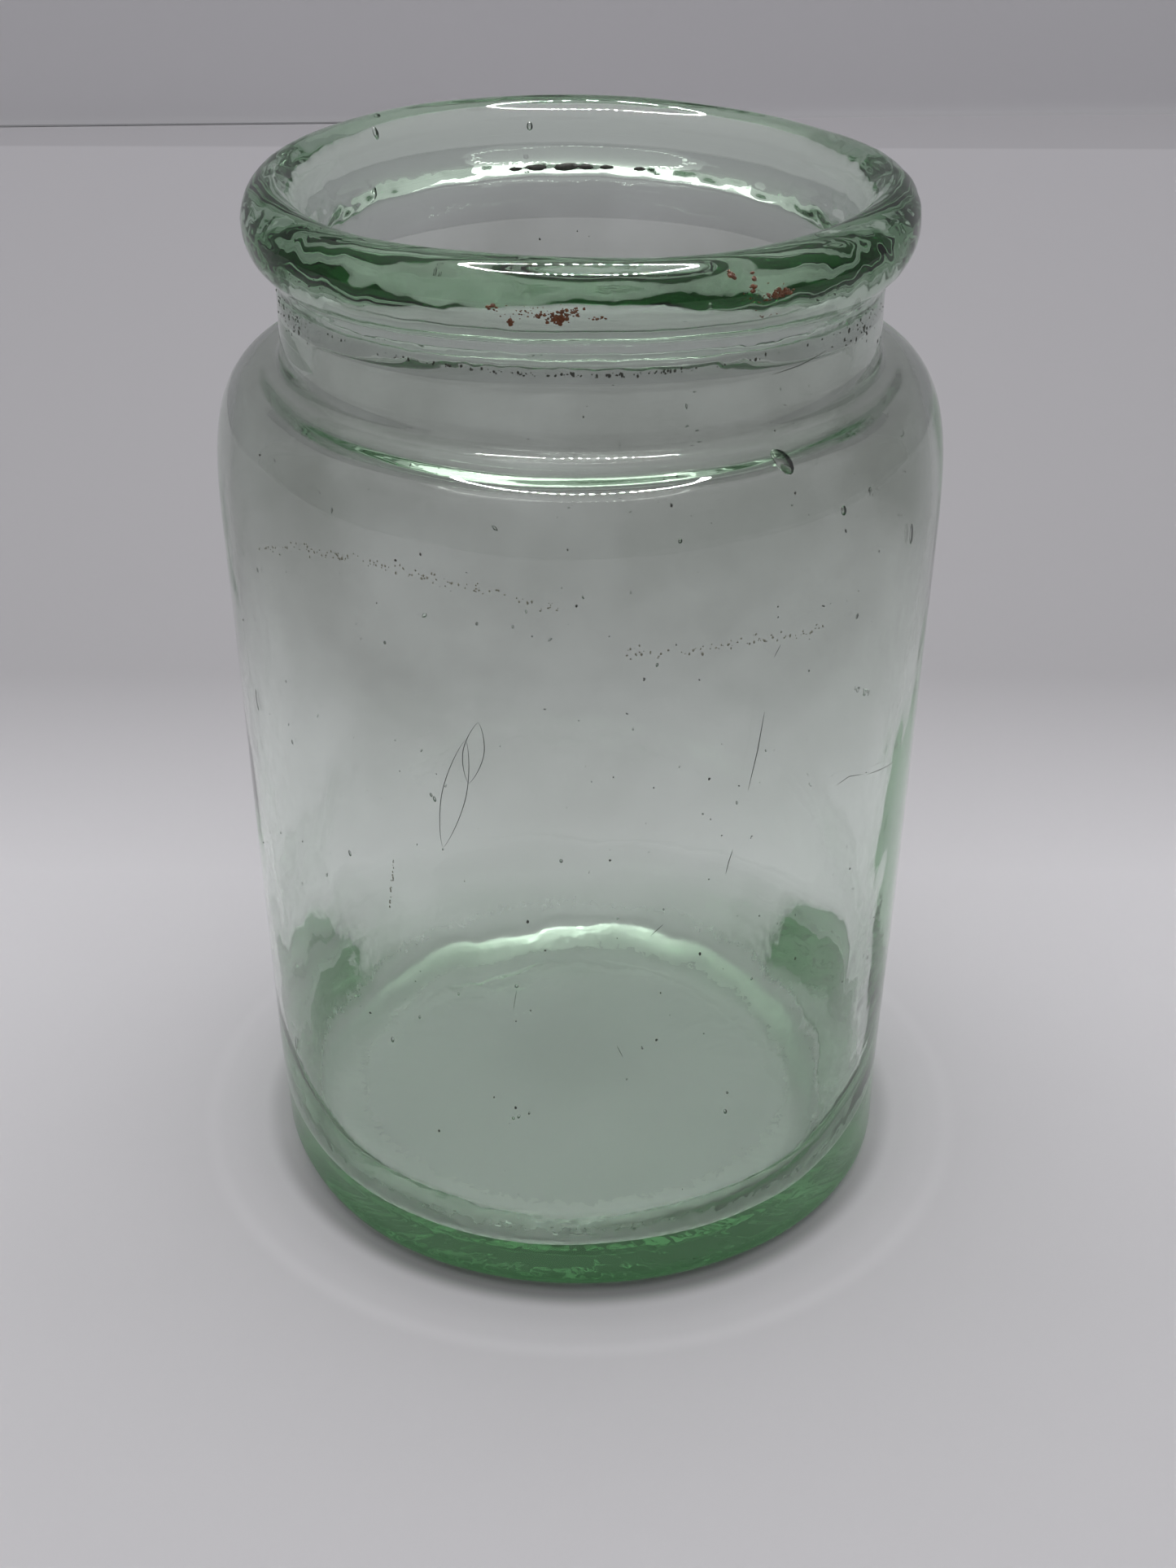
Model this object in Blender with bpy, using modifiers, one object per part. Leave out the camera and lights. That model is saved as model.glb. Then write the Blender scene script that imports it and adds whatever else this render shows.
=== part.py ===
"""Open storage jar of aqua glass, blown in one piece.

The jar is a single turned body: a heavy base with a shallow push-up, a thin
wall that thickens towards the floor and widens a little towards the shoulder,
a full round shoulder, a short neck and a fat rolled rim whose inner side runs
down like a funnel to the throat.
Metres, +Z up, origin at the middle of the resting ring.
"""

import math

import bpy

# Outer shape
HEIGHT = 0.1317
BASE_RADIUS = 0.0412
HEEL_ROUND = 0.0015
SHOULDER_RADIUS = 0.0437
SHOULDER_START = 0.0930
SHOULDER_TOP = 0.1102
SHOULDER_POWER = 3.0
NECK_RADIUS = 0.0353
NECK_FILLET = 0.0016

# Rolled rim
RIM_CENTRE_RADIUS = 0.0353
RIM_CENTRE_HEIGHT = 0.1272
RIM_OUT = 0.0035
RIM_UP = HEIGHT - RIM_CENTRE_HEIGHT
RIM_DOWN = 0.0049
RIM_IN = 0.0032
RIM_SEAM_HEIGHT = 0.1206

# Inner shape
THROAT_RADIUS = 0.0304
THROAT_HEIGHT = 0.1238
THROAT_ROUND = 0.0009
THROAT_ROUND_HEIGHT = 0.0018
INNER_NECK_RADIUS = 0.0322
INNER_NECK_HEIGHT = 0.1170
INNER_NECK_FILLET = 0.0050
WALL = 0.0018
INNER_SHOULDER_TOP = 0.1078
INNER_SHOULDER_POWER = 2.6
FLOOR_THICKNESS = 0.0048
FLOOR_CROWN = 0.0005
FLOOR_RADIUS = 0.0315
FLOOR_BEND = 0.0036
FLOOR_BEND_ANGLE = 70.0
FLARE_TOP = 0.0180
FLARE_CORNER_LIMIT = 0.9

# Underside
RESTING_RING_INNER = 0.0290
PUSH_UP = 0.0012
PUSH_UP_STEPS = 4

# Where the curves start and stop, in degrees from the outward radius
RIM_INSIDE_END = 170.0
RIM_UNDERSIDE_END = -75.0
THROAT_ANGLES = (145.0, 215.0)
NECK_CURL_ANGLES = (180.0, 230.0)
NECK_CURL_SKIPS = 2

# Smoothness of the turned surface
TURN_STEPS = 72
STRAIGHT_STEPS = 3
SMALL_ARC_STEPS = 4
RIM_STEPS = 6
INNER_SHOULDER_STEPS = 7
OUTER_SHOULDER_STEPS = 10
MERGE_DISTANCE = 0.00001

GLASS_COLOUR = (0.42, 0.62, 0.50, 1.0)
GLASS_ROUGHNESS = 0.03
GLASS_IOR = 1.52


def clear_scene():
    for thing in list(bpy.data.objects):
        bpy.data.objects.remove(thing, do_unlink=True)


def ellipse_arc(centre, radii, start, end, count):
    """Points on an upright ellipse, angles in degrees from the outward radius."""
    points = []
    for i in range(count + 1):
        angle = math.radians(start + (end - start) * i / count)
        r = centre[0] + radii[0] * math.cos(angle)
        z = centre[1] + radii[1] * math.sin(angle)
        points.append((r, z))
    return points


def shoulder_curve(foot, top, power, count):
    """A full shoulder from the neck out and down to the wall, squarer than an ellipse."""
    points = []
    for i in range(count + 1):
        angle = math.radians(90.0 * (1.0 - i / count))
        out = max(math.cos(angle), 0.0) ** (2.0 / power)
        up = max(math.sin(angle), 0.0) ** (2.0 / power)
        r = top[0] + (foot[0] - top[0]) * out
        z = foot[1] + (top[1] - foot[1]) * up
        points.append((r, z))
    return points


def straight(start, end, count):
    """Evenly spaced points after start, up to and including end."""
    points = []
    for i in range(1, count + 1):
        t = i / count
        points.append((start[0] + (end[0] - start[0]) * t, start[1] + (end[1] - start[1]) * t))
    return points


def flare(start, slope, end, count):
    """From start, leaving at slope degrees, bending up to meet the wall at end."""
    corner = (end[0], start[1] + (end[0] - start[0]) * math.tan(math.radians(slope)))
    corner = (corner[0], min(corner[1], FLARE_CORNER_LIMIT * end[1]))
    points = []
    for i in range(1, count + 1):
        t = i / count
        weights = ((1.0 - t) ** 2, 2.0 * t * (1.0 - t), t * t)
        points.append(tuple(sum(w * p[k] for w, p in zip(weights, (start, corner, end))) for k in (0, 1)))
    return points


def wall_radius(z):
    """Outer radius of the slightly widening wall at height z."""
    t = (z - HEEL_ROUND) / (SHOULDER_START - HEEL_ROUND)
    return BASE_RADIUS + (SHOULDER_RADIUS - BASE_RADIUS) * t


def inner_profile():
    """From the middle of the floor up the inner side to the top of the rim."""
    points = [(0.0, FLOOR_THICKNESS + FLOOR_CROWN)]
    points += straight(points[0], (FLOOR_RADIUS, FLOOR_THICKNESS), STRAIGHT_STEPS)
    bend = (FLOOR_RADIUS, FLOOR_THICKNESS + FLOOR_BEND)
    bend_end = FLOOR_BEND_ANGLE - 90.0
    points += ellipse_arc(bend, (FLOOR_BEND, FLOOR_BEND), -90.0, bend_end, SMALL_ARC_STEPS)[1:]
    wall_foot = (wall_radius(FLARE_TOP) - WALL, FLARE_TOP)
    points += flare(points[-1], FLOOR_BEND_ANGLE, wall_foot, SMALL_ARC_STEPS)
    shoulder_foot = (SHOULDER_RADIUS - WALL, SHOULDER_START)
    points += straight(points[-1], shoulder_foot, STRAIGHT_STEPS)
    fillet = INNER_NECK_FILLET
    neck_foot = (INNER_NECK_RADIUS + fillet, INNER_SHOULDER_TOP)
    points += shoulder_curve(shoulder_foot, neck_foot, INNER_SHOULDER_POWER, INNER_SHOULDER_STEPS)[-2::-1]
    turn = (neck_foot[0], neck_foot[1] + fillet)
    points += ellipse_arc(turn, (fillet, fillet), 270.0, 180.0, SMALL_ARC_STEPS)[1:]
    points.append((INNER_NECK_RADIUS, INNER_NECK_HEIGHT))
    lip = (THROAT_RADIUS + THROAT_ROUND, THROAT_HEIGHT)
    lip_radii = (THROAT_ROUND, THROAT_ROUND_HEIGHT)
    points += ellipse_arc(lip, lip_radii, *THROAT_ANGLES, STRAIGHT_STEPS)[::-1]
    rim_centre = (RIM_CENTRE_RADIUS, RIM_CENTRE_HEIGHT)
    points += ellipse_arc(rim_centre, (RIM_IN, RIM_UP), 90.0, RIM_INSIDE_END, RIM_STEPS)[::-1]
    return points


def outer_profile():
    """From the top of the rim down the outer side and in under the base."""
    rim_centre = (RIM_CENTRE_RADIUS, RIM_CENTRE_HEIGHT)
    points = ellipse_arc(rim_centre, (RIM_OUT, RIM_UP), 0.0, 90.0, RIM_STEPS)[-2::-1]
    points += ellipse_arc(rim_centre, (RIM_OUT, RIM_DOWN), RIM_UNDERSIDE_END, 0.0, RIM_STEPS)[-2::-1]
    points.append((NECK_RADIUS, RIM_SEAM_HEIGHT))
    curl = (NECK_RADIUS + NECK_FILLET, SHOULDER_TOP + NECK_FILLET)
    points += ellipse_arc(curl, (NECK_FILLET, NECK_FILLET), *NECK_CURL_ANGLES, STRAIGHT_STEPS)
    shoulder_foot = (SHOULDER_RADIUS, SHOULDER_START)
    shoulder_top = (NECK_RADIUS, SHOULDER_TOP)
    shoulder = shoulder_curve(shoulder_foot, shoulder_top, SHOULDER_POWER, OUTER_SHOULDER_STEPS)
    points += shoulder[NECK_CURL_SKIPS:]
    points += straight(points[-1], (BASE_RADIUS, HEEL_ROUND), SMALL_ARC_STEPS)
    heel_centre = (BASE_RADIUS - HEEL_ROUND, HEEL_ROUND)
    points += ellipse_arc(heel_centre, (HEEL_ROUND, HEEL_ROUND), -90.0, 0.0, SMALL_ARC_STEPS)[-2::-1]
    points.append((RESTING_RING_INNER, 0.0))
    for i in range(PUSH_UP_STEPS):
        t = 1.0 - (i + 1) / PUSH_UP_STEPS
        points.append((RESTING_RING_INNER * t, PUSH_UP * (1.0 - t * t)))
    return points


def turned_body(name, points, collection, material):
    """A profile in the XZ plane, turned a full circle about Z."""
    mesh = bpy.data.meshes.new(name)
    verts = [(r, 0.0, z) for r, z in points]
    edges = [(i, i + 1) for i in range(len(verts) - 1)]
    mesh.from_pydata(verts, edges, [])
    mesh.materials.append(material)
    body = bpy.data.objects.new(name, mesh)
    collection.objects.link(body)
    turn = body.modifiers.new("turn", 'SCREW')
    turn.axis = 'Z'
    turn.angle = math.radians(360.0)
    turn.steps = TURN_STEPS
    turn.render_steps = TURN_STEPS
    turn.use_merge_vertices = True
    turn.merge_threshold = MERGE_DISTANCE
    turn.use_smooth_shade = True
    return body


def glass_material():
    material = bpy.data.materials.new("aqua_glass")
    material.use_nodes = True
    shader = material.node_tree.nodes["Principled BSDF"]
    shader.inputs["Base Color"].default_value = GLASS_COLOUR
    shader.inputs["Roughness"].default_value = GLASS_ROUGHNESS
    shader.inputs["Metallic"].default_value = 0.0
    shader.inputs["IOR"].default_value = GLASS_IOR
    shader.inputs["Transmission Weight"].default_value = 1.0
    return material


def build():
    clear_scene()
    parts = bpy.data.collections.new("storage_jar")
    bpy.context.scene.collection.children.link(parts)
    turned_body("glass_jar", inner_profile() + outer_profile(), parts, glass_material())


build()
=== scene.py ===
"""Hand-blown aqua glass storage jar, standing open on a pale table.

The jar is one closed skin: a smooth profile for every azimuth, pushed in and out by noise
the way blown glass wanders. Seeds and bubbles are shells inside the glass. Rust, dirt,
residue and scratches are small pieces on its surface. Lengths are in mm until a mesh is
made, except in the materials, the stage, the lights and the camera, which are in metres.
"""

import math

import bpy
import numpy as np
from mathutils import Matrix, Vector


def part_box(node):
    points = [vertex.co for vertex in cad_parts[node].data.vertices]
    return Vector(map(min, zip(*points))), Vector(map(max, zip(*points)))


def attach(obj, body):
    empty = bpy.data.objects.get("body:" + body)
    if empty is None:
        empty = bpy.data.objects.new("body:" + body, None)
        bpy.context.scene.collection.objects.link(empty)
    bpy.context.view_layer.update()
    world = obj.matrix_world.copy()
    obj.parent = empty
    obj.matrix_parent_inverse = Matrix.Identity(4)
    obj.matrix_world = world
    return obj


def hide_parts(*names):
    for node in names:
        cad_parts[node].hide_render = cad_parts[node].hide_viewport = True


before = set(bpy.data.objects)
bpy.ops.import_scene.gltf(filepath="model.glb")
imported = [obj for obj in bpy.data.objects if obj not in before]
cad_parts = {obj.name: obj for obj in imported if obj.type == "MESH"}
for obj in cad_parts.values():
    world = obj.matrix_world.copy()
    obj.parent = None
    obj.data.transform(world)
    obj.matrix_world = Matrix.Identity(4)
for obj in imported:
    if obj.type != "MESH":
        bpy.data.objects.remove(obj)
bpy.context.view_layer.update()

MM = 0.001
DESIGN_HEIGHT = 131.7 * MM
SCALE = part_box("glass_jar")[1][2] / DESIGN_HEIGHT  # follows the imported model's height

# ---------------------------------------------------------------- jar shape
BASE_RADIUS = 41.2
HEEL_ROUND = 1.5
SHOULDER_RADIUS = 43.7
SHOULDER_START = 93.0
SHOULDER_TOP = 110.2
SHOULDER_POWER = 3.0
NECK_RADIUS = 35.3
NECK_FILLET = 1.6
RIM_CENTRE = (35.3, 127.2)
RIM_OUT, RIM_UP, RIM_DOWN, RIM_IN = 3.5, 4.5, 4.9, 3.2
RIM_SEAM_HEIGHT = 120.6
THROAT = (30.4, 123.8)
THROAT_ROUND = 0.9
INNER_NECK = (32.2, 117.0)
INNER_NECK_FILLET = 5.0
INNER_SHOULDER_TOP = 107.8
INNER_SHOULDER_POWER = 2.6
WALL = 1.8
FLOOR_THICKNESS = 4.8
FLOOR_BEND = 3.6
FLOOR_BEND_ANGLE = 79.0
FLOOR_CROWN = 0.5
FLARE_CORNER_LIMIT = 0.9
RING_INNER = 29.0
PUSH_UP = 1.2

# How far the level floor reaches and how high the flare at the wall's foot goes: (azimuth, mm)
FLOOR_REACH = (
    (0, 28.6), (45, 30.0), (90, 32.0), (135, 31.0), (180, 30.5), (225, 34.2), (270, 35.0), (315, 34.0),
)
FLARE_TOPS = (
    (0, 22.0), (45, 20.0), (90, 17.0), (135, 23.0), (180, 25.0), (225, 14.0), (270, 12.0), (315, 13.0),
)
# How much the rim rises and the base spreads: (azimuth, mm)
RIM_RISE = (
    (0, -0.20), (35, -0.65), (60, -0.40), (90, 0.0), (120, 0.25), (160, 0.05), (225, -0.25),
    (270, 0.30), (315, -0.25),
)
BASE_SPREAD = (
    (0, 0.10), (90, 0.0), (160, 0.10), (207, -0.55), (240, 0.0), (270, 0.0), (305, 0.40), (330, 0.30),
)
# Waves of the blown skin: (height, wavelength, squeeze along the height, noise seed)
OUTER_SWELL = (0.16, 24.0, 0.6, 11)
INNER_SWELL = (0.30, 21.0, 0.7, 12)
DENTS = (0.030, 6.5, 1.0, 13)
STREAKS = (0.045, 5.0, 0.5, 14)
GRAIN = (0.010, 1.6, 1.0, 15)
FLOOR_DENTS = (0.035, 3.0, 1.0, 16)
FLOOR_GRAIN = (0.030, 1.1, 1.0, 17)
THROAT_WAVES = (1.0, 4.0, 1.0, 18)
THROAT_GRAIN = (0.6, 1.7, 1.0, 19)
RIM_WAVES = (0.05, 9.0, 1.0, 20)
RIM_CREASES = (1.0, 3.2, 2.2, 21)
SEAM_WAVES = (0.05, 2.0, 1.0, 22)
SEAM_GRAIN = (0.04, 0.9, 1.0, 23)
THROAT_LIFT = (1.0, 5.5, 0.0, 24)
BEND_STIPPLE = (0.06, 0.95, 1.0, 25)
# How far the throat's and the rim's creases go at the front and, on top of that, at the sides
THROAT_PUSH = (0.05, 0.15)
THROAT_RISE = (0.05, 0.12)
CREASE_PUSH = (0.004, 0.06)
CAVITY_SHIFT = -0.4  # the cavity lies a little to the left of the outer wall
OVAL = 0.12  # the jar is this much longer one way than the other
OVAL_TURN = 0.7

AZIMUTH_STEPS = 512
PROFILE_STEPS = 470
FINE_STEP = 0.15
SOFTENING_PASSES = 14

TABLE_GAP = 0.1 * MM  # air under the uneven base, so that light passes between glass and table

# ---------------------------------------------------------------- camera
CAMERA_DISTANCE = 255.3 * MM
CAMERA_HEIGHT = 198.7 * MM
CAMERA_PITCH = 30.13
CAMERA_YAW = -0.23
CAMERA_ROLL = 0.22
CAMERA_LENS = 51.3
SENSOR_WIDTH = 36.0

# ---------------------------------------------------------------- room light
HORIZON = (0.20, 0.20, 0.205)
ZENITH = (0.86, 0.86, 0.875)
LAMP_HEIGHT = 0.44
LAMP_SIZE = (0.30, 0.30)
LAMP_POWER = 0.42
RING_LAMP_PLACE = (0.0, -0.02, 0.46)
RING_LAMP_RADIUS = 0.46  # as a share of the lamp sheet's width
RING_LAMP_HALF_WIDTH = 0.02
RING_LAMP_BEADS = 60.0
RING_LAMP_STRENGTH = 110.0


# ---------------------------------------------------------------- noise
def make_lattice(seed):
    rng = np.random.default_rng(seed)
    table = rng.permutation(256)
    table = np.concatenate([table, table, table])
    slopes = rng.normal(size=(256, 3))
    slopes /= np.linalg.norm(slopes, axis=1)[:, None]
    return table, slopes


NOISE_GAIN = 1.6


def noise(points, wavelength, seed):
    """Smooth gradient noise in about -1 to 1."""
    table, slopes = make_lattice(seed)
    p = np.asarray(points) / wavelength
    cell = np.floor(p).astype(int)
    f = p - cell
    fade = f * f * f * (f * (f * 6 - 15) + 10)
    cell &= 255
    total = 0.0
    for dx in (0, 1):
        for dy in (0, 1):
            for dz in (0, 1):
                corner = table[table[table[cell[..., 0] + dx] + cell[..., 1] + dy] + cell[..., 2] + dz]
                offset = f - np.array([dx, dy, dz])
                value = (slopes[corner] * offset).sum(-1)
                wx = fade[..., 0] if dx else 1 - fade[..., 0]
                wy = fade[..., 1] if dy else 1 - fade[..., 1]
                wz = fade[..., 2] if dz else 1 - fade[..., 2]
                total = total + value * wx * wy * wz
    return total * NOISE_GAIN


def smoothstep(low, high, x):
    t = np.clip((x - low) / (high - low), 0.0, 1.0)
    return t * t * (3 - 2 * t)


def hump(x, middle, width):
    return np.exp(-(((x - middle) / width) ** 2))


# ---------------------------------------------------------------- profile
def arc(centre, radii, start, end, count):
    angles = np.radians(np.linspace(start, end, count))
    return [(centre[0] + radii[0] * math.cos(a), centre[1] + radii[1] * math.sin(a)) for a in angles]


def shoulder(foot, top, power, count):
    """From the neck out and down to the wall, squarer than an ellipse as the power grows."""
    points = []
    for a in np.radians(np.linspace(90.0, 0.0, count)):
        out = max(math.cos(a), 0.0) ** (2.0 / power)
        up = max(math.sin(a), 0.0) ** (2.0 / power)
        points.append((top[0] + (foot[0] - top[0]) * out, foot[1] + (top[1] - foot[1]) * up))
    return points


def flare(start, slope, end, count):
    """From start, leaving at slope degrees, bending up to meet the wall at end."""
    rise = (end[0] - start[0]) * math.tan(math.radians(slope))
    corner = (end[0], start[1] + min(rise, FLARE_CORNER_LIMIT * (end[1] - start[1])))
    points = []
    for t in np.linspace(0.0, 1.0, count)[1:]:
        a, b, c = (1 - t) ** 2, 2 * t * (1 - t), t * t
        points.append(tuple(a * start[k] + b * corner[k] + c * end[k] for k in (0, 1)))
    return points


def wall_radius(z):
    t = (z - HEEL_ROUND) / (SHOULDER_START - HEEL_ROUND)
    return BASE_RADIUS + (SHOULDER_RADIUS - BASE_RADIUS) * t


def inner_points(floor_radius, flare_top):
    """Floor centre, up the inside, to the top of the rim."""
    points = [
        (0.0, FLOOR_THICKNESS + FLOOR_CROWN),
        (floor_radius * 0.5, FLOOR_THICKNESS + FLOOR_CROWN * 0.5),
    ]
    bend = (floor_radius, FLOOR_THICKNESS + FLOOR_BEND)
    points += arc(bend, (FLOOR_BEND, FLOOR_BEND), -90, FLOOR_BEND_ANGLE - 90, 12)
    wall_foot = (wall_radius(flare_top) - WALL, flare_top)
    points += flare(points[-1], FLOOR_BEND_ANGLE, wall_foot, 20)
    foot = (SHOULDER_RADIUS - WALL, SHOULDER_START)
    top = (INNER_NECK[0] + INNER_NECK_FILLET, INNER_SHOULDER_TOP)
    points += shoulder(foot, top, INNER_SHOULDER_POWER, 40)[::-1]
    turn = (top[0], top[1] + INNER_NECK_FILLET)
    points += arc(turn, (INNER_NECK_FILLET, INNER_NECK_FILLET), 270, 180, 10)
    points.append(INNER_NECK)
    lip = (THROAT[0] + THROAT_ROUND, THROAT[1])
    points += arc(lip, (THROAT_ROUND, THROAT_ROUND * 2), 215, 145, 8)
    points += arc(RIM_CENTRE, (RIM_IN, RIM_UP), 170, 90, 20)
    return points


def outer_points():
    """Top of the rim, down the outside, to the middle of the underside."""
    points = arc(RIM_CENTRE, (RIM_OUT, RIM_UP), 90, 0, 24)[1:]
    points += arc(RIM_CENTRE, (RIM_OUT, RIM_DOWN), 0, -75, 20)[1:]
    points.append((NECK_RADIUS, RIM_SEAM_HEIGHT))
    curl = (NECK_RADIUS + NECK_FILLET, SHOULDER_TOP + NECK_FILLET)
    points += arc(curl, (NECK_FILLET, NECK_FILLET), 180, 235, 6)
    foot, top = (SHOULDER_RADIUS, SHOULDER_START), (NECK_RADIUS, SHOULDER_TOP)
    points += shoulder(foot, top, SHOULDER_POWER, 60)[12:]  # the first points lie inside the curl
    heel = (BASE_RADIUS - HEEL_ROUND, HEEL_ROUND)
    points += arc(heel, (HEEL_ROUND, HEEL_ROUND), 0, -90, 12)
    points += [(RING_INNER * t, PUSH_UP * (1 - t * t)) for t in np.linspace(1.0, 0.0, 60)]
    return points


def along(points):
    steps = np.linalg.norm(np.diff(points, axis=0), axis=1)
    return np.concatenate([[0.0], np.cumsum(steps)])


def resampled(points, spacing):
    s = along(points)
    count = int(s[-1] / spacing) + 2
    t = np.linspace(0, s[-1], count)
    return np.stack([np.interp(t, s, points[:, k]) for k in (0, 1)], axis=1)


def softened(points, passes):
    """Rounds the profile's corners the way hot glass flows, and keeps its ends on the axis."""
    p = points.copy()
    for _ in range(passes):
        p[1:-1] = 0.25 * p[:-2] + 0.5 * p[1:-1] + 0.25 * p[2:]
        p[0, 1], p[-1, 1] = p[1, 1], p[-2, 1]
    return p


def spacing_at(points):
    """Finer where the rim, neck, fillet and heel bend."""
    r, z = points[:, 0], points[:, 1]
    step = np.full(len(points), 1.4)
    step = np.where(z > 92.0, 0.8, step)
    step = np.where(z > 107.0, 0.36, step)
    step = np.where((z < 13.5) & (r > 26.0), 0.45, step)
    return step


def jar_profile(floor_radius, flare_top):
    """The smooth profile from the floor's middle round to the underside's middle."""
    drawn = np.array(inner_points(floor_radius, flare_top) + outer_points())
    fine = softened(resampled(drawn, FINE_STEP), SOFTENING_PASSES)
    s = along(fine)
    density = np.concatenate([[0.0], np.cumsum(np.diff(s) / spacing_at(fine)[1:])])
    t = np.interp(np.linspace(0, density[-1], PROFILE_STEPS), density, s)
    points = np.stack([np.interp(t, s, fine[:, k]) for k in (0, 1)], axis=1)
    points[0, 0] = points[-1, 0] = 0.0
    return points


def profile_normals(points):
    tangent = np.gradient(points, axis=0)
    normal = np.stack([-tangent[:, 1], tangent[:, 0]], axis=1)
    return normal / np.linalg.norm(normal, axis=1)[:, None]


# ---------------------------------------------------------------- hand-blown unevenness
def around(table, theta):
    """A smooth closed curve through (degrees, value) pairs, read at theta."""
    degrees = np.array([d for d, _ in table], float)
    values = np.array([v for _, v in table], float)
    grid = np.linspace(0, 360, 721)[:-1]
    laid = np.interp(grid, degrees, values, period=360)
    kernel = np.hanning(41)
    kernel /= kernel.sum()
    wrapped = np.concatenate([laid[-20:], laid, laid[:20]])
    return np.interp(np.degrees(theta) % 360, grid, np.convolve(wrapped, kernel, "valid"), period=360)


def wave(base, kind):
    height, wavelength, squeeze, seed = kind
    return height * noise(base * [1, 1, squeeze], wavelength, seed)


def throat_mask(z, inside):
    return hump(z, THROAT[1], 1.6) * inside


def front_to_side(pair, sides):
    return pair[0] + pair[1] * sides


def skin_push(base, r, z, inside, sides):
    """How far the skin wanders along its normal: long waves all over, short ones in places."""
    calm = 1.0 - 0.85 * smoothstep(84.0, 96.0, z)  # the shoulder was drawn smooth
    near_rim = smoothstep(119.0, 121.5, z)
    seam = hump(z, RIM_SEAM_HEIGHT, 0.8) * ~inside
    floor_zone = inside * (1 - smoothstep(9.0, 22.0, z))
    floor_bend = inside * hump(z, 6.5, 2.6) * (r > 20)

    push = wave(base, OUTER_SWELL) * ~inside + wave(base, INNER_SWELL) * inside
    push += wave(base, DENTS) * np.where(inside, 0.7 * calm, 0.25)
    push += wave(base, STREAKS) * np.where(inside, calm, 0.08)
    push += wave(base, GRAIN) * np.where(inside, calm, 0.12)
    push += floor_bend * wave(base, BEND_STIPPLE)
    push += floor_zone * (wave(base, FLOOR_DENTS) + wave(base, FLOOR_GRAIN))
    throat = throat_mask(z, inside) * front_to_side(THROAT_PUSH, sides)
    push += throat * (wave(base, THROAT_WAVES) + wave(base, THROAT_GRAIN))
    push += near_rim * (wave(base, RIM_WAVES) + front_to_side(CREASE_PUSH, sides) * wave(base, RIM_CREASES))
    push += seam * (wave(base, SEAM_WAVES) + wave(base, SEAM_GRAIN))
    on_ring = (z < 0.05) & (r > RING_INNER - 1)
    return np.where(on_ring, 0.0, push)


def jar_surface():
    """Grid of points, profile by azimuth, with the unevenness of a blown jar."""
    theta = np.linspace(0, 2 * math.pi, AZIMUTH_STEPS, endpoint=False)
    shapes = zip(around(FLOOR_REACH, theta), around(FLARE_TOPS, theta))
    profiles = np.stack([jar_profile(reach, top) for reach, top in shapes], axis=1)
    normals = np.stack([profile_normals(profiles[:, j]) for j in range(AZIMUTH_STEPS)], axis=1)
    r, z = profiles[..., 0], profiles[..., 1]
    split = int(np.argmax(z[:, 0]))
    inside = np.arange(PROFILE_STEPS)[:, None] < np.argmax(z, axis=0)[None]
    ring = np.stack([np.cos(theta), np.sin(theta)], axis=1)[None]
    base = np.stack([r * ring[..., 0], r * ring[..., 1], z], axis=2)

    sides = np.abs(np.cos(theta))[None] ** 5
    toward_axis = smoothstep(0.0, 6.0, r)
    push = skin_push(base, r, z, inside, sides) * toward_axis
    throat = throat_mask(z, inside) * front_to_side(THROAT_RISE, sides)
    lift = smoothstep(112, 124, z) * around(RIM_RISE, theta)[None] + throat * wave(base, THROAT_LIFT)
    spread = (1 - smoothstep(1.0, 16.0, z)) * ~inside * around(BASE_SPREAD, theta)[None]
    spread = spread + OVAL * np.cos(2 * (theta[None] - OVAL_TURN)) * (r > 20)
    shift = CAVITY_SHIFT * inside * (1 - smoothstep(60.0, 112.0, z))

    radius = r + normals[..., 0] * push + spread * toward_axis
    grid = np.empty(base.shape)
    grid[..., 0] = radius * ring[..., 0] + shift
    grid[..., 1] = radius * ring[..., 1]
    grid[..., 2] = np.maximum(z + normals[..., 1] * push + lift, 0.0)
    return grid, split


def closed_skin(grid):
    """Vertices and faces over the grid, whose first and last rows lie on the axis."""
    rows, cols = grid.shape[:2]
    verts = [grid[0].mean(axis=0)]
    verts += list(grid[1:-1].reshape(-1, 3))
    verts.append(grid[-1].mean(axis=0))
    index = 1 + np.arange((rows - 2) * cols).reshape(rows - 2, cols)
    after = np.roll(index, -1, axis=1)
    quads = np.stack([index[:-1], index[1:], after[1:], after[:-1]], axis=-1).reshape(-1, 4)
    faces = [tuple(f) for f in quads.tolist()]
    last = len(verts) - 1
    faces += [(0, int(index[0, j]), int(after[0, j])) for j in range(cols)]
    faces += [(last, int(after[-1, j]), int(index[-1, j])) for j in range(cols)]
    return verts, faces


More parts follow.
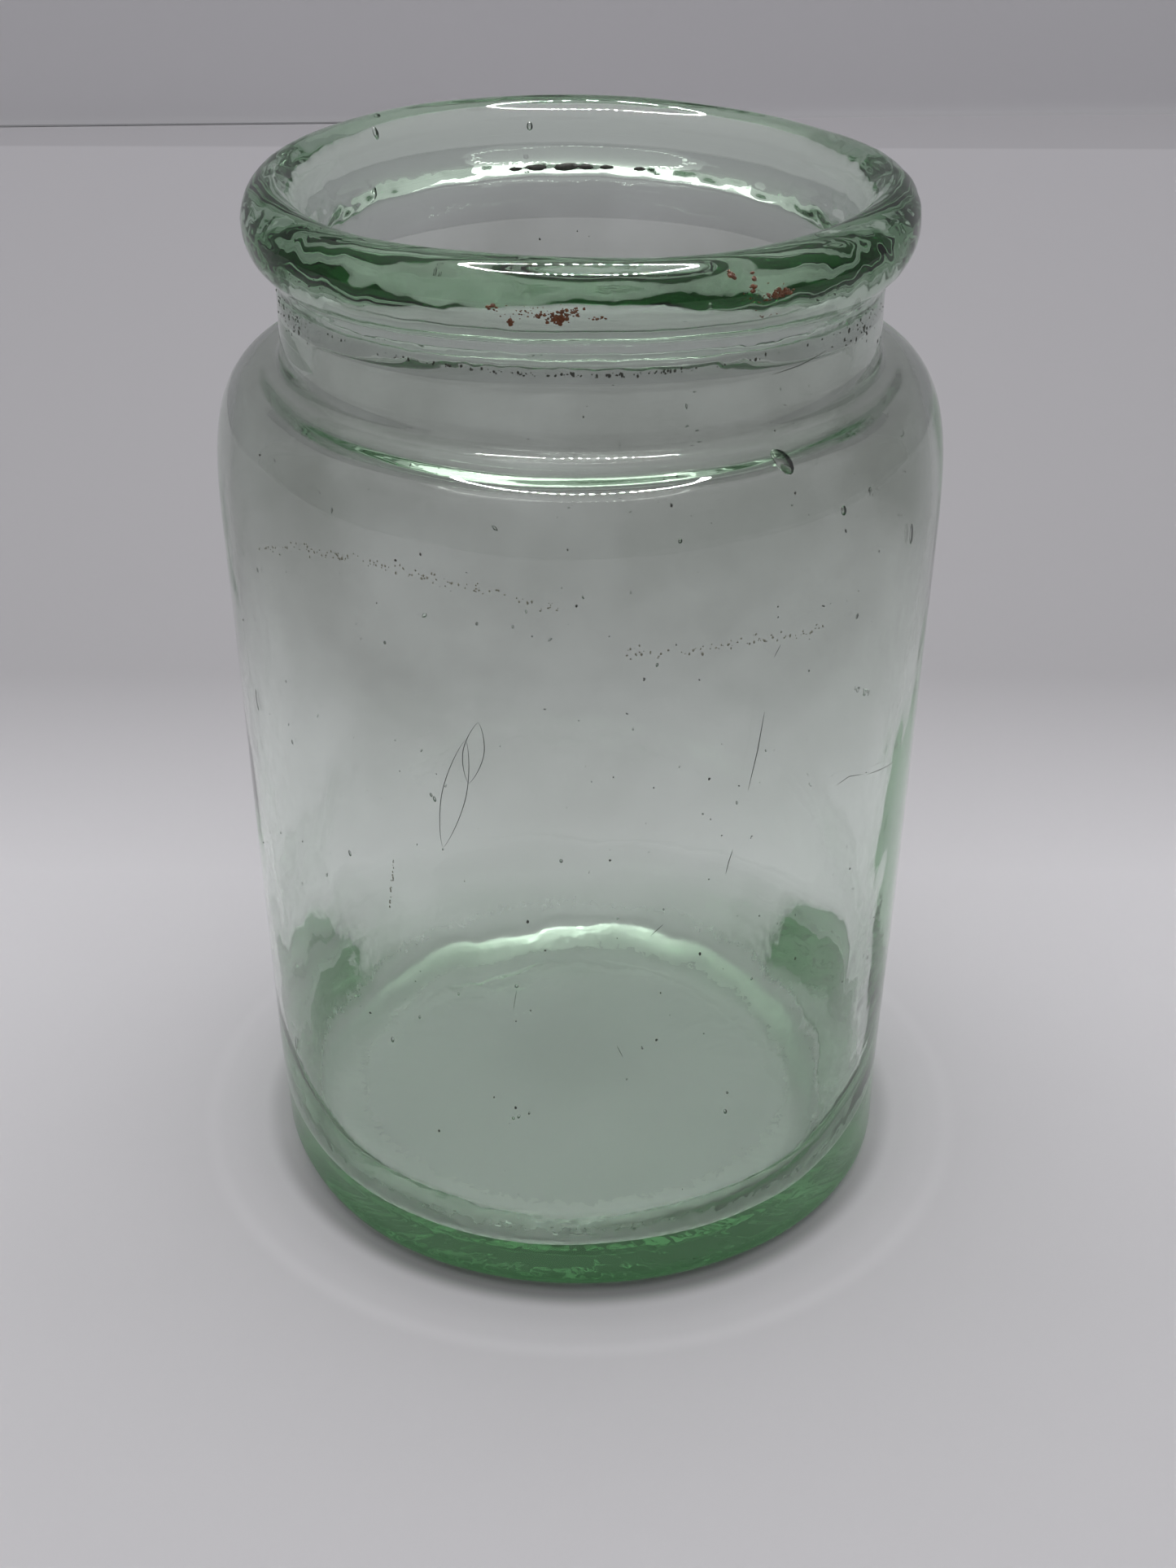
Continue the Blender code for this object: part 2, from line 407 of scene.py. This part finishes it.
class Skin:
    """Looks up places on the jar's uneven surfaces by azimuth in degrees and height in mm."""

    def __init__(self, grid, split):
        self.outer = grid[split:][::-1]
        self.inner = grid[:split]

    def at(self, side, azimuth, height):
        rows = self.outer if side == "out" else self.inner
        place = azimuth % 360 / 360 * AZIMUTH_STEPS
        column = int(place) % AZIMUTH_STEPS
        blend = place - int(place)
        found = []
        for j in (column, (column + 1) % AZIMUTH_STEPS):
            line = rows[:, j]
            on_wall = np.hypot(line[:, 0], line[:, 1]) > 27.0
            line = line[line[:, 2] > 1.0 if side == "out" else on_wall]
            order = np.argsort(line[:, 2])
            found.append([np.interp(height, line[order, 2], line[order, k]) for k in (0, 1)])
        x, y = np.array(found[0]) * (1 - blend) + np.array(found[1]) * blend
        return np.array([x, y, height])

    def frame(self, side, azimuth, height):
        """Point, sideways direction, upward direction and outward normal."""
        here = self.at(side, azimuth, height)
        across = self.at(side, azimuth + 0.8, height) - self.at(side, azimuth - 0.8, height)
        up = self.at(side, azimuth, height + 0.4) - self.at(side, azimuth, height - 0.4)
        normal = np.cross(across, up)
        across, up, normal = (v / np.linalg.norm(v) for v in (across, up, normal))
        return here, across, np.cross(normal, across), normal


# ---------------------------------------------------------------- small shapes
def ball(centre, axes, radii, rng=None, rough=0.0, segments=10, rings=6, inward=False):
    """A stretched ball as vertices and faces, uneven when rough is above 0."""
    verts, faces = [], []
    for i in range(rings + 1):
        polar = math.pi * i / rings
        count = 1 if i in (0, rings) else segments
        for j in range(count):
            turn = 2 * math.pi * j / segments
            flat = math.sin(polar)
            unit = (flat * math.cos(turn), flat * math.sin(turn), math.cos(polar))
            swell = 1.0 + (rough * rng.uniform(-1, 1) if rough else 0.0)
            offset = sum(a * u * r for a, u, r in zip(axes, unit, radii))
            verts.append(centre + offset * swell)
    for i in range(rings):
        for j in range(segments):
            k = (j + 1) % segments
            start = 1 + i * segments
            upper = [0, 0] if i == 0 else [start - segments + j, start - segments + k]
            lower = [len(verts) - 1] * 2 if i == rings - 1 else [start + j, start + k]
            face = [upper[0], lower[0], lower[1], upper[1]]
            face = [v for n, v in enumerate(face) if v not in face[:n]]
            faces.append(face[::-1] if inward else face)
    return verts, faces


def thread(points, radius, sides=6):
    """A thin tube along a line of points, tapering towards both ends."""
    points = np.array(points)
    verts, faces = [], []
    count = len(points)
    for i, p in enumerate(points):
        ahead = points[min(i + 1, count - 1)] - points[max(i - 1, 0)]
        ahead /= np.linalg.norm(ahead)
        outward = np.array([p[0], p[1], 0.0])
        outward /= np.linalg.norm(outward)
        aside = np.cross(ahead, outward)
        aside /= np.linalg.norm(aside)
        width = radius * (0.15 + 0.85 * math.sin(math.pi * i / (count - 1)) ** 0.6)
        for k in range(sides):
            a = 2 * math.pi * k / sides
            verts.append(p + (outward * math.cos(a) + aside * math.sin(a)) * width)
    for i in range(count - 1):
        for k in range(sides):
            n = (k + 1) % sides
            faces.append([i * sides + k, i * sides + n, (i + 1) * sides + n, (i + 1) * sides + k])
    faces.append(list(range(sides))[::-1])
    faces.append([(count - 1) * sides + k for k in range(sides)])
    return verts, faces


def joined(parts):
    """One list of vertices and faces from many."""
    verts, faces = [], []
    for some_verts, some_faces in parts:
        faces += [[v + len(verts) for v in f] for f in some_faces]
        verts += list(some_verts)
    return verts, faces


def add_piece(name, parts, material):
    """One smooth object from parts in mm, riding on the jar."""
    verts, faces = joined(parts)
    mesh = bpy.data.meshes.new(name)
    mesh.from_pydata([tuple(float(c) * MM * SCALE for c in v) for v in verts], [], faces)
    mesh.materials.append(material)
    mesh.shade_smooth()
    piece = bpy.data.objects.new(name, mesh)
    bpy.context.scene.collection.objects.link(piece)
    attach(piece, "root")
    return piece


# ---------------------------------------------------------------- materials
GLASS_IOR = 1.52
CLEAN_GLASS = (0.985, 1.0, 0.99, 1)
DARKER_GLASS = (0.67, 0.685, 0.66, 1)
GLASS_BODY = (0.25, 0.61, 0.29, 1)  # what is left of the light along one path length
GLASS_DENSITY = 32.0
# The glass darkens between the first two heights and clears again between the last two
DARKENING_FOOT = (0.052, 0.100)
DARKENING_TOP = (0.132, 0.107)
CLOUD_SCALE = 60.0
CLOUD_THICKNESS = (0.62, 1.25)
CLOUD_HAZE = 0.03
STIPPLE_SCALE = 900.0
STIPPLE_ROUGHNESS = (0.30, 0.62)
RIPPLE_SCALE = 420.0
RIPPLE_STRENGTH = 0.06
RIPPLE_HEIGHT = 0.00012


def new_material(name):
    material = bpy.data.materials.new(name)
    material.use_nodes = True
    tree = material.node_tree
    return material, tree, tree.nodes["Principled BSDF"]


def object_place(tree):
    """The place on the object, and its X, Y and Z."""
    place = tree.nodes.new("ShaderNodeTexCoord").outputs["Object"]
    split = tree.nodes.new("ShaderNodeSeparateXYZ")
    tree.links.new(place, split.inputs[0])
    return place, split.outputs


def mapped(tree, value, start, end, low=0.0, high=1.0, ease="LINEAR"):
    """The value's run from start to end, turned into low to high."""
    node = tree.nodes.new("ShaderNodeMapRange")
    node.interpolation_type = ease
    for name, number in zip(("From Min", "From Max", "To Min", "To Max"), (start, end, low, high)):
        node.inputs[name].default_value = number
    tree.links.new(value, node.inputs["Value"])
    return node.outputs["Result"]


def maths(tree, operation, first, second=None):
    node = tree.nodes.new("ShaderNodeMath")
    node.operation = operation
    for k, value in enumerate((first, second)):
        if isinstance(value, (int, float)):
            node.inputs[k].default_value = value
        elif value is not None:
            tree.links.new(value, node.inputs[k])
    return node.outputs[0]


def noise_node(tree, place, scale, detail=2.0):
    node = tree.nodes.new("ShaderNodeTexNoise")
    node.inputs["Scale"].default_value = scale
    node.inputs["Detail"].default_value = detail
    tree.links.new(place, node.inputs["Vector"])
    return node.outputs["Fac"]


def mixed(tree, factor, first, second):
    """Two colours blended by a linked factor."""
    node = tree.nodes.new("ShaderNodeMix")
    node.data_type = "RGBA"
    node.inputs[6].default_value = first
    node.inputs[7].default_value = second
    tree.links.new(factor, node.inputs["Factor"])
    return node.outputs[2]


def length_of(tree, vector):
    node = tree.nodes.new("ShaderNodeVectorMath")
    node.operation = "LENGTH"
    tree.links.new(vector, node.inputs[0])
    return node.outputs["Value"]


def colour_ramp(tree, factor, stops, ease="LINEAR"):
    """A ramp through (position, colour) stops."""
    node = tree.nodes.new("ShaderNodeValToRGB")
    ramp = node.color_ramp
    ramp.interpolation = ease
    for k, (position, colour) in enumerate(stops):
        stop = ramp.elements[k] if k < 2 else ramp.elements.new(position)
        stop.position = position
        stop.color = (*colour, 1)
    tree.links.new(factor, node.inputs["Fac"])
    return node.outputs["Color"]


def floor_bend_mask(tree, place, z):
    """1 on the bend where the floor's top turns up into the wall."""
    level = tree.nodes.new("ShaderNodeVectorMath")
    level.operation = "MULTIPLY"
    level.inputs[1].default_value = (1.0, 1.0, 0.0)
    tree.links.new(place, level.inputs[0])
    radius = length_of(tree, level.outputs[0])
    below = mapped(tree, z, 0.0110, 0.0075)
    above = mapped(tree, z, 0.0040, 0.0044)
    beyond = mapped(tree, radius, 0.0275, 0.0305)
    within = mapped(tree, radius, 0.0398, 0.0392)
    outer = maths(tree, "MULTIPLY", below, beyond)
    inner = maths(tree, "MULTIPLY", within, above)
    return maths(tree, "MULTIPLY", outer, inner)


def glass_material():
    """Clear aqua glass, greener the thicker it is, darker in uneven clouds on the upper body, with a faint
    ripple.
    """
    material, tree, shader = new_material("aqua_glass_blown")
    nodes, links = tree.nodes, tree.links
    shader.inputs["IOR"].default_value = GLASS_IOR
    shader.inputs["Transmission Weight"].default_value = 1.0
    place, split = object_place(tree)

    # the upper body is darker, in clouds
    clouds = noise_node(tree, place, CLOUD_SCALE, 4.0)
    low = mapped(tree, split["Z"], *DARKENING_FOOT, ease="SMOOTHSTEP")
    high = mapped(tree, split["Z"], *DARKENING_TOP, ease="SMOOTHSTEP")
    patch = mapped(tree, clouds, 0.35, 0.68, *CLOUD_THICKNESS)
    darkening = maths(tree, "MULTIPLY", maths(tree, "MULTIPLY", low, high), patch)
    links.new(mixed(tree, darkening, CLEAN_GLASS, DARKER_GLASS), shader.inputs["Base Color"])

    # a little haze in the clouds, and a stippled bend at the floor's edge
    haze = mapped(tree, clouds, 0.55, 0.80, 0.0, CLOUD_HAZE)
    stipple = mapped(tree, noise_node(tree, place, STIPPLE_SCALE), 0.35, 0.65, *STIPPLE_ROUGHNESS)
    bend = floor_bend_mask(tree, place, split["Z"])
    rough = maths(tree, "ADD", haze, maths(tree, "MULTIPLY", bend, stipple))
    links.new(rough, shader.inputs["Roughness"])

    bump = nodes.new("ShaderNodeBump")
    bump.inputs["Strength"].default_value = RIPPLE_STRENGTH
    bump.inputs["Distance"].default_value = RIPPLE_HEIGHT
    links.new(noise_node(tree, place, RIPPLE_SCALE), bump.inputs["Height"])
    links.new(bump.outputs["Normal"], shader.inputs["Normal"])

    body = nodes.new("ShaderNodeVolumeAbsorption")
    body.inputs["Color"].default_value = GLASS_BODY
    body.inputs["Density"].default_value = GLASS_DENSITY
    links.new(body.outputs["Volume"], nodes["Material Output"].inputs["Volume"])
    return material


def mottled_material(name, dark, light, roughness, scale):
    """Two tones mixed by noise, for dirt, rust and scratches."""
    material, tree, shader = new_material(name)
    place, _ = object_place(tree)
    grain = noise_node(tree, place, scale, 3.0)
    tree.links.new(mixed(tree, grain, (*dark, 1), (*light, 1)), shader.inputs["Base Color"])
    shader.inputs["Roughness"].default_value = roughness
    return material


def plain_material(name, colour, roughness):
    material, _, shader = new_material(name)
    shader.inputs["Base Color"].default_value = (*colour, 1)
    shader.inputs["Roughness"].default_value = roughness
    shader.inputs["Specular IOR Level"].default_value = 0.0
    return material


# ---------------------------------------------------------------- the jar and its bubbles
# Azimuth, height, half width, half height, half depth, lean in degrees, share of the wall from outside
BUBBLES = (
    (304.0, 108.3, 1.05, 1.60, 0.42, 12, 0.5),
    (137.0, 128.7, 0.45, 0.60, 0.40, 0, 0.35),
    (136.0, 131.0, 0.60, 0.45, 0.30, 30, 0.5),
    (101.0, 127.5, 0.42, 0.60, 0.40, 0, 0.35),
    (206.0, 73.0, 0.35, 1.50, 0.35, 6, 0.5),
    (312.0, 103.0, 0.40, 0.55, 0.30, 0, 0.5),
    (330.0, 96.0, 0.45, 1.30, 0.35, 4, 0.5),
    (207.0, 22.0, 0.35, 1.40, 0.35, -8, 0.5),
)
STRAY_SEEDS = 120
DEPTH_LIMIT = 0.30  # no bubble is deeper than this share of the wall, either side of its middle


def build_bubbles(skin):
    """Air trapped in the glass: shells that face inward."""
    rng = np.random.default_rng(41)
    rows = list(BUBBLES)
    for _ in range(STRAY_SEEDS):
        size = 0.10 + 0.16 * rng.random() ** 2
        stretch = 1.0 + 1.2 * rng.random()
        azimuth, height, lean = 360 * rng.random(), rng.uniform(24, 104), rng.uniform(-30, 30)
        rows.append((azimuth, height, size, size * stretch, size, lean, 0.5))
    parts = []
    for azimuth, height, wide, tall, deep, lean, share in rows:
        outside, across, up, normal = skin.frame("out", azimuth, height)
        inside = skin.at("in", azimuth, height)
        thickness = np.hypot(*(outside - inside)[:2])
        centre = outside * (1 - share) + inside * share
        radii = (wide, tall, min(deep, DEPTH_LIMIT * thickness))
        c, s = math.cos(math.radians(lean)), math.sin(math.radians(lean))
        axes = (across * c + up * s, up * c - across * s, normal)
        parts.append(ball(centre, axes, radii, segments=14, rings=9, inward=True))
    return parts


def build_jar():
    grid, split = jar_surface()
    skin = Skin(grid, split)
    shell = add_piece("jar_glass", [closed_skin(grid)] + build_bubbles(skin), glass_material())
    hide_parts("glass_jar")
    return skin


# ---------------------------------------------------------------- rust, dirt and scratches
# Rust on the rim: azimuth, height, spread in degrees, spread in mm, flecks, largest fleck in mm
RUST = (
    (256.5, 127.6, 1.2, 0.35, 7, 0.24),
    (259.5, 126.2, 0.7, 0.30, 5, 0.30),
    (263.5, 127.0, 0.8, 0.35, 6, 0.26),
    (266.9, 126.8, 1.7, 0.50, 60, 0.24),
    (268.8, 127.5, 1.6, 0.35, 36, 0.18),
    (262.0, 127.3, 4.5, 0.70, 34, 0.12),
    (272.5, 126.7, 2.6, 0.20, 12, 0.16),
    (293.8, 129.9, 0.9, 0.25, 7, 0.34),
    (297.0, 128.8, 0.7, 0.55, 9, 0.32),
    (301.8, 127.5, 2.3, 0.35, 80, 0.22),
    (298.0, 127.6, 4.0, 0.90, 30, 0.11),
    (299.5, 125.4, 2.6, 0.12, 8, 0.12),
)
# Dirt packed under the rolled rim: azimuth, spread in degrees, specks, smallest speck, height, spread in mm
SEAM_DIRT = (
    (203.0, 9.0, 46, 0.07, 118.6, 0.9),
    (333.0, 10.0, 46, 0.07, 118.6, 0.9),
    (262.0, 48.0, 150, 0.04, 119.6, 0.12),
)
SEAM_DIRT_TOP = 120.3
STRAY_SPECKS = 260
# Dark patches on the throat at the back: azimuth, size in mm
THROAT_PATCHES = ((93.5, 0.75), (89.0, 0.50), (101.0, 0.62), (84.0, 0.42), (76.0, 0.36), (106.0, 0.40))


def build_rust(skin):
    rng = np.random.default_rng(7)
    parts = []
    for azimuth, height, wide, tall, count, largest in RUST:
        for _ in range(count):
            turn = azimuth + rng.normal() * wide * 0.5
            here, across, up, normal = skin.frame("out", turn, height + rng.normal() * tall * 0.6)
            size = largest * (0.35 + 0.65 * rng.random())
            radii = (size, size * rng.uniform(0.5, 1.0), size * 0.35)
            parts.append(ball(here, (across, up, normal), radii, rng, 0.35, 9, 6))
    rust = mottled_material("rust", (0.022, 0.006, 0.003), (0.24, 0.075, 0.022), 0.85, 2500.0)
    add_piece("rust_flecks", parts, rust)


def speck(skin, rng, side, azimuth, height, size):
    here, across, up, normal = skin.frame(side, azimuth, height)
    stretch = rng.uniform(0.6, 1.7)
    return ball(here, (across, up, normal), (size, size * stretch, size * 0.4), rng, 0.3, 7, 4)


def build_dirt(skin):
    rng = np.random.default_rng(19)
    parts = []
    for _ in range(STRAY_SPECKS):
        size = 0.05 + 0.13 * rng.random() ** 3
        side = "out" if rng.random() < 0.6 else "in"
        parts.append(speck(skin, rng, side, 360 * rng.random(), rng.uniform(12, 116), size))
    for middle, spread, count, smallest, height, rise in SEAM_DIRT:
        for _ in range(count):
            size = smallest + 0.13 * rng.random() ** 2
            where = min(height + rise * rng.normal(), SEAM_DIRT_TOP)
            parts.append(speck(skin, rng, "out", middle + spread * rng.normal() * 0.6, where, size))
    for azimuth, size in THROAT_PATCHES:
        here, across, up, normal = skin.frame("in", azimuth, THROAT[1])
        radii = (size * 2.2, size * 0.7, size * 0.3)
        parts.append(ball(here, (across, up, normal), radii, rng, 0.2, 9, 5))
    dirt = mottled_material("dark_dirt", (0.02, 0.022, 0.018), (0.10, 0.10, 0.085), 0.9, 3000.0)
    add_piece("dirt_specks", parts, dirt)


# Dried residue: (azimuth, height) points that a faint broken line runs through
RESIDUE = (
    ((214.0, 95.4), (225.0, 98.2), (238.0, 99.6), (252.0, 99.2), (267.0, 96.9)),
    ((276.0, 92.0), (284.0, 91.2), (292.0, 91.5), (308.0, 90.6)),
    ((240.0, 62.0), (238.5, 55.0)),
)
RESIDUE_PER_MM = 3.2
MM_PER_DEGREE = 0.75


def build_residue(skin):
    rng = np.random.default_rng(23)
    parts = []
    for line in RESIDUE:
        azimuths, heights = zip(*line)
        steps = np.hypot(np.diff(azimuths) * MM_PER_DEGREE, np.diff(heights))
        s = np.concatenate([[0], np.cumsum(steps)])
        for _ in range(int(s[-1] * RESIDUE_PER_MM)):
            t = s[-1] * rng.random()
            where = (np.interp(t, s, azimuths), np.interp(t, s, heights) + 0.35 * rng.normal())
            parts.append(speck(skin, rng, "out", *where, 0.05 + 0.09 * rng.random()))
    residue = mottled_material("residue", (0.10, 0.10, 0.07), (0.40, 0.40, 0.33), 0.95, 2200.0)
    add_piece("residue_specks", parts, residue)


# Scratches: half thickness in mm and the (azimuth, height) points along each
SCRATCHES = (
    (0.055, ((298.0, 82.0), (297.2, 77.0), (296.0, 72.1))),
    (0.050, ((294.0, 64.6), (293.4, 63.0), (293.0, 61.4))),
    (0.050, ((305.0, 117.4), (312.0, 117.6), (319.0, 118.2))),
    (0.040, ((314.0, 68.3), (317.0, 68.6), (321.0, 67.6))),
    (0.040, ((322.0, 67.2), (327.0, 66.2), (332.0, 65.3))),
    (0.035, ((300.0, 90.0), (299.0, 88.6))),
    (0.035, ((260.0, 47.0), (259.4, 44.0))),
    (0.035, ((283.0, 56.0), (281.0, 54.6))),
    (0.035, ((276.0, 39.0), (277.0, 37.2))),
)
# Pointed loops left by flattened bubbles: azimuth, height, half width in degrees, half height in mm,
# lean in degrees
LOOPS = ((254.3, 78.6, 1.6, 4.0, 0.9), (251.0, 72.8, 1.9, 7.4, 2.2))
LOOP_THICKNESS = 0.05


def scratch_points(skin, line, count):
    azimuths, heights = zip(*line)
    t = np.linspace(0, len(line) - 1, count)
    k = np.arange(len(line))
    return [skin.at("out", a, h) for a, h in zip(np.interp(t, k, azimuths), np.interp(t, k, heights))]


def build_scratches(skin):
    parts = [thread(scratch_points(skin, line, 24), width) for width, line in SCRATCHES]
    for azimuth, height, wide, tall, lean in LOOPS:
        for side in (-1, 1):
            points = []
            for t in np.linspace(-1, 1, 40):
                bulge = side * wide * (1 - abs(t) ** 1.7) ** 0.8
                points.append(skin.at("out", azimuth + bulge + lean * t, height + tall * t))
            parts.append(thread(points, LOOP_THICKNESS))
    scratch = mottled_material("scratch", (0.03, 0.035, 0.03), (0.12, 0.13, 0.11), 0.7, 900.0)
    add_piece("scratches", parts, scratch)


# ---------------------------------------------------------------- stage
STAGE_HALF = 1.2
BACKDROP_TOP = 0.8
BACKDROP_FOOT = -0.02
FAR_EDGE = 0.5695  # where the table ends and the backdrop starts, straight behind the jar
FAR_SLANT = 0.0525  # how much farther that is per metre to the right
FAR_GAP = 0.0015
# Painted light along the depth, front to back: the table is painted brightest just behind the jar, where
# the lamp's pool of light falls, and darker further back, stepping down before the backdrop: (y, albedo)
PAINTED_TABLE_LIGHT = (
    (-0.16, 0.76), (-0.04, 0.77), (0.03, 0.87), (0.058, 0.88), (0.08, 0.79), (0.13, 0.58),
    (0.5299, 0.81), (0.53, 0.71),
)
TABLE_TINT = (1.0, 0.98, 1.008)
# Painted light and shadow around the base: brighter under the jar, a dark contact shadow round the base and
# a pale ring of gathered light beyond it: (distance from the axis in 10 cm, factor)
PAINTED_BASE_LIGHT_AND_SHADOW = (
    (0.0, 1.3), (0.375, 1.25), (0.405, 0.22), (0.420, 0.36), (0.450, 0.92), (0.50, 1.0),
    (0.52, 1.06), (0.54, 1.0), (1.0, 1.0),
)
# how much greener the painted shadow is, as if lit through the glass
SHADOW_GREEN = 0.97


def flat_sheet(name, corners, material):
    mesh = bpy.data.meshes.new(name)
    mesh.from_pydata(corners, [], [(0, 1, 2, 3)])
    mesh.materials.append(material)
    sheet = bpy.data.objects.new(name, mesh)
    bpy.context.scene.collection.objects.link(sheet)
    return sheet


def table_material():
    """Pale paper with painted light: darker towards the back in place of the lamp's falloff, a painted
    shadow where the base keeps the light off it, brighter under the jar and in a pale ring round it.
    """
    material, tree, shader = new_material("table_paper")
    shader.inputs["Roughness"].default_value = 0.75
    shader.inputs["Specular IOR Level"].default_value = 0.0
    place, split = object_place(tree)

    # painted light falloff: brightest just behind the jar, darker towards the back
    front, back = PAINTED_TABLE_LIGHT[0][0], PAINTED_TABLE_LIGHT[-1][0]
    depth = mapped(tree, split["Y"], front, back)
    tones = [((y - front) / (back - front), tuple(v * t for t in TABLE_TINT)) for y, v in PAINTED_TABLE_LIGHT]
    tone = colour_ramp(tree, depth, tones)

    # painted shadow round the base, tinted green, with painted light under the jar and a painted pale ring
    # beyond it
    shadow = []
    for at, value in PAINTED_BASE_LIGHT_AND_SHADOW:
        paler = value * SHADOW_GREEN if value < 0.9 else value
        shadow.append((at, (paler, value, paler)))
    reach = maths(tree, "MULTIPLY", length_of(tree, place), 10.0)
    shade = tree.nodes.new("ShaderNodeMix")
    shade.data_type = "RGBA"
    shade.blend_type = "MULTIPLY"
    # the painted light and shadow act fully in front of the jar and at 0.42 strength behind it
    in_front = mapped(tree, split["Y"], -0.010, -0.038, 0.42, 1.0)
    tree.links.new(in_front, shade.inputs["Factor"])
    tree.links.new(tone, shade.inputs[6])
    tree.links.new(colour_ramp(tree, reach, shadow, "EASE"), shade.inputs[7])
    tree.links.new(shade.outputs[2], shader.inputs["Base Color"])
    return material


def far_edge(x):
    """Where the table's back edge runs, slightly aslant."""
    return FAR_EDGE + FAR_SLANT * x


def build_stage():
    half, low = STAGE_HALF, -TABLE_GAP
    front = [(-half, -half, low), (half, -half, low)]
    back = [(x, far_edge(x) - FAR_GAP, low) for x in (half, -half)]
    flat_sheet("table", front + back, table_material())
    # A dark grey strip along the table's back edge on the left: a painted shadow line where the table meets
    # the backdrop.
    shaded = ((-half, 0.0075), (-0.05, 0.0035), (-0.05, FAR_GAP), (-half, FAR_GAP))
    edge = [(x, far_edge(x) - away, low + 0.0002) for x, away in shaded]
    flat_sheet("painted_edge_shadow", edge, plain_material("edge_shadow", (0.42, 0.42, 0.43), 0.9))
    corners = ((-half, BACKDROP_FOOT), (half, BACKDROP_FOOT), (half, BACKDROP_TOP), (-half, BACKDROP_TOP))
    wall = [(x, far_edge(x), z) for x, z in corners]
    flat_sheet("backdrop", wall, plain_material("backdrop_paper", (0.745, 0.735, 0.76), 0.9))


# ---------------------------------------------------------------- light
def area_light(name, location, target, size, power):
    light = bpy.data.lights.new(name, "AREA")
    light.shape = "RECTANGLE"
    light.size, light.size_y = size
    light.energy = power
    holder = bpy.data.objects.new(name, light)
    holder.location = location
    aim = Vector(target) - Vector(location)
    holder.rotation_euler = aim.to_track_quat("-Z", "Y").to_euler()
    bpy.context.scene.collection.objects.link(holder)
    return holder


def ring_light():
    """A ring of small lamps overhead, seen only as highlights."""
    below = (RING_LAMP_PLACE[0], RING_LAMP_PLACE[1], 0.0)
    holder = area_light("ring_light", RING_LAMP_PLACE, below, LAMP_SIZE, 1.0)
    holder.visible_diffuse = False
    light = holder.data
    light.use_nodes = True
    tree = light.node_tree
    tree.nodes.clear()
    out = tree.nodes.new("ShaderNodeOutputLight")
    glow = tree.nodes.new("ShaderNodeEmission")
    place = tree.nodes.new("ShaderNodeNewGeometry")
    split = tree.nodes.new("ShaderNodeSeparateXYZ")
    tree.links.new(place.outputs["Parametric"], split.inputs[0])

    u = maths(tree, "SUBTRACT", split.outputs["X"], 0.5)
    v = maths(tree, "SUBTRACT", split.outputs["Y"], 0.5)
    squares = maths(tree, "ADD", maths(tree, "MULTIPLY", u, u), maths(tree, "MULTIPLY", v, v))
    off = maths(tree, "ABSOLUTE", maths(tree, "SUBTRACT", maths(tree, "SQRT", squares), RING_LAMP_RADIUS))
    band = maths(tree, "LESS_THAN", off, RING_LAMP_HALF_WIDTH)
    turn = maths(tree, "MULTIPLY", maths(tree, "ARCTAN2", v, u), RING_LAMP_BEADS)
    beads = maths(tree, "GREATER_THAN", maths(tree, "SINE", turn), 0.2)
    lit = maths(tree, "MULTIPLY", beads, band)
    tree.links.new(maths(tree, "MULTIPLY", lit, RING_LAMP_STRENGTH), glow.inputs["Strength"])
    tree.links.new(glow.outputs[0], out.inputs[0])


def build_world():
    """A soft white room, dim at the horizon and brighter overhead."""
    world = bpy.data.worlds.new("room")
    world.use_nodes = True
    tree = world.node_tree
    place = tree.nodes.new("ShaderNodeTexCoord")
    split = tree.nodes.new("ShaderNodeSeparateXYZ")
    tree.links.new(place.outputs["Generated"], split.inputs[0])
    rise = maths(tree, "MULTIPLY", split.outputs["Z"], split.outputs["Z"])
    tone = mixed(tree, rise, (*HORIZON, 1), (*ZENITH, 1))
    tree.links.new(tone, tree.nodes["Background"].inputs["Color"])
    bpy.context.scene.world = world


def build_light():
    build_world()
    lamp = area_light("overhead", (0.0, 0.0, LAMP_HEIGHT), (0.0, 0.0, 0.0), LAMP_SIZE, LAMP_POWER)
    lamp.visible_glossy = False
    ring_light()


# ---------------------------------------------------------------- camera
def build_camera():
    data = bpy.data.cameras.new("view")
    data.sensor_width = SENSOR_WIDTH
    data.lens = CAMERA_LENS
    data.clip_start = 0.01
    camera = bpy.data.objects.new("view", data)
    turn = Matrix.Rotation(math.radians(CAMERA_YAW), 4, "Z")
    turn @= Matrix.Rotation(math.radians(90.0 - CAMERA_PITCH), 4, "X")
    turn @= Matrix.Rotation(math.radians(CAMERA_ROLL), 4, "Z")
    camera.matrix_world = Matrix.Translation((0.0, -CAMERA_DISTANCE, CAMERA_HEIGHT)) @ turn
    bpy.context.scene.collection.objects.link(camera)
    bpy.context.scene.camera = camera


def set_light_paths():
    """Light goes round inside thick glass many times before it leaves."""
    scene = bpy.context.scene
    scene.view_settings.view_transform = "Standard"
    scene.cycles.max_bounces = 40
    scene.cycles.transmission_bounces = 40
    scene.cycles.glossy_bounces = 40
    scene.cycles.diffuse_bounces = 4


jar_skin = build_jar()
build_rust(jar_skin)
build_dirt(jar_skin)
build_residue(jar_skin)
build_scratches(jar_skin)
build_stage()
build_light()
build_camera()
set_light_paths()
